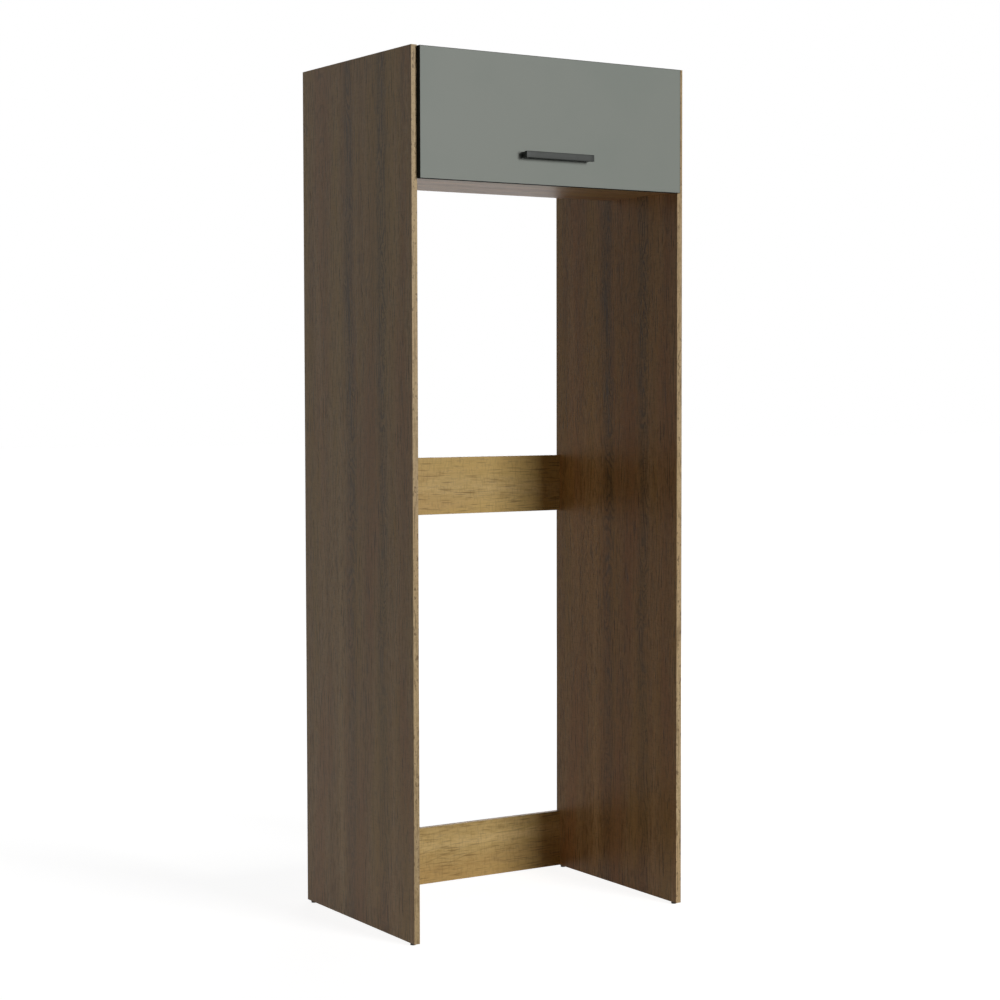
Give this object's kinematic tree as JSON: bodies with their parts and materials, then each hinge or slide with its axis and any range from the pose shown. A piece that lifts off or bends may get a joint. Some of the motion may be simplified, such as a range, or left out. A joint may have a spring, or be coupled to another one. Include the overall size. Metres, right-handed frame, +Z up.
{
  "type": "fridge housing cabinet",
  "caption": "Tall open housing for a refrigerator: wood-grain side panels, back rails and a closed top compartment with a grey flip-up door on cup hinges and gas struts.",
  "frame": {"origin": "on the floor, at the middle of the overall width and depth", "axes": "+Z up, +X to the right of someone facing the door, -Y out of the door"},
  "size_m": [0.775, 0.599, 2.11],
  "materials": {
    "wood_foil": "satin golden-brown wood-grain foil on particle board",
    "edge_band": "satin edge band printed to match the foil",
    "grey_board": "matt grey foil on board",
    "grey_band": "matt anthracite edge band",
    "hardboard": "smooth brown hardboard",
    "graphite_metal": "satin graphite powder coat",
    "beech": "turned beech",
    "clear_rubber": "soft clear bumper",
    "zinc": "bright zinc plating",
    "nickel": "nickel-plated pressed steel",
    "tube_paint": "black enamel",
    "rod_chrome": "polished chrome",
    "black_plastic": "moulded black plastic"
  },
  "bodies": {
    "carcass": {"back_left_foot": "black_plastic", "back_panel": "hardboard", "back_panel_nails": "zinc", "back_right_foot": "black_plastic", "bottom_panel": "wood_foil", "cam_bolts": "zinc", "cam_housings": "zinc", "compartment_edge_bands": "edge_band", "foot_nails": "zinc", "front_left_foot": "black_plastic", "front_right_foot": "black_plastic", "hinge_plate_screws": "nickel", "left_front_edge_band": "edge_band", "left_hinge_arm": "nickel", "left_hinge_plate": "nickel", "left_side_panel": "wood_foil", "left_strut_side_bracket": "nickel", "left_wall_angle": "zinc", "lower_back_rail": "wood_foil", "middle_back_rail": "wood_foil", "rail_edge_bands": "edge_band", "right_front_edge_band": "edge_band", "right_hinge_arm": "nickel", "right_hinge_plate": "nickel", "right_side_panel": "wood_foil", "right_strut_side_bracket": "nickel", "right_wall_angle": "zinc", "strut_side_screws": "nickel", "top_panel": "wood_foil", "wall_angle_screws": "zinc", "wood_dowels": "beech"},
    "door": {"door_panel": "grey_board", "door_edge_bands": "grey_band", "handle": "graphite_metal", "handle_screws": "zinc", "left_hinge_cup": "nickel", "right_hinge_cup": "nickel", "hinge_pins": "nickel", "hinge_cup_screws": "nickel", "left_strut_door_bracket": "nickel", "right_strut_door_bracket": "nickel", "strut_door_screws": "nickel", "door_bumpers": "clear_rubber"},
    "left_strut_cylinder": {"left_strut_tube": "tube_paint", "left_strut_tube_end": "black_plastic", "left_strut_gland": "black_plastic"},
    "left_strut_plunger": {"left_strut_rod": "rod_chrome", "left_strut_rod_end": "black_plastic", "left_strut_piston": "black_plastic"},
    "right_strut_cylinder": {"right_strut_tube": "tube_paint", "right_strut_tube_end": "black_plastic", "right_strut_gland": "black_plastic"},
    "right_strut_plunger": {"right_strut_rod": "rod_chrome", "right_strut_rod_end": "black_plastic", "right_strut_piston": "black_plastic"}
  },
  "joints": [
    {"name": "door_flip", "type": "hinge", "parent": "carcass", "child": "door", "pos_m": [0, -0.2645, 2.096], "axis": [-1, 0, 0], "range_deg": [0, 90]},
    {"name": "left_strut_swing", "type": "hinge", "parent": "carcass", "child": "left_strut_cylinder", "pos_m": [-0.3605, -0.1445, 1.906], "axis": [1, 0, 0], "range_deg": [0, 11.78]},
    {"name": "left_strut_slide", "type": "slide", "parent": "left_strut_cylinder", "child": "left_strut_plunger", "axis": [0, -0.548, 0.8365], "range_m": [0, 0.06005]},
    {"name": "right_strut_swing", "type": "hinge", "parent": "carcass", "child": "right_strut_cylinder", "pos_m": [0.3605, -0.1445, 1.906], "axis": [1, 0, 0], "range_deg": [0, 11.78]},
    {"name": "right_strut_slide", "type": "slide", "parent": "right_strut_cylinder", "child": "right_strut_plunger", "axis": [0, -0.548, 0.8365], "range_m": [0, 0.06005]}
  ],
  "couplings": [
    {"joint": "left_strut_swing", "follows": "door_flip", "ratio": 0.13076},
    {"joint": "left_strut_slide", "follows": "door_flip", "m_per_rad": 0.038195},
    {"joint": "right_strut_swing", "follows": "door_flip", "ratio": 0.13076},
    {"joint": "right_strut_slide", "follows": "door_flip", "m_per_rad": 0.038195}
  ]
}
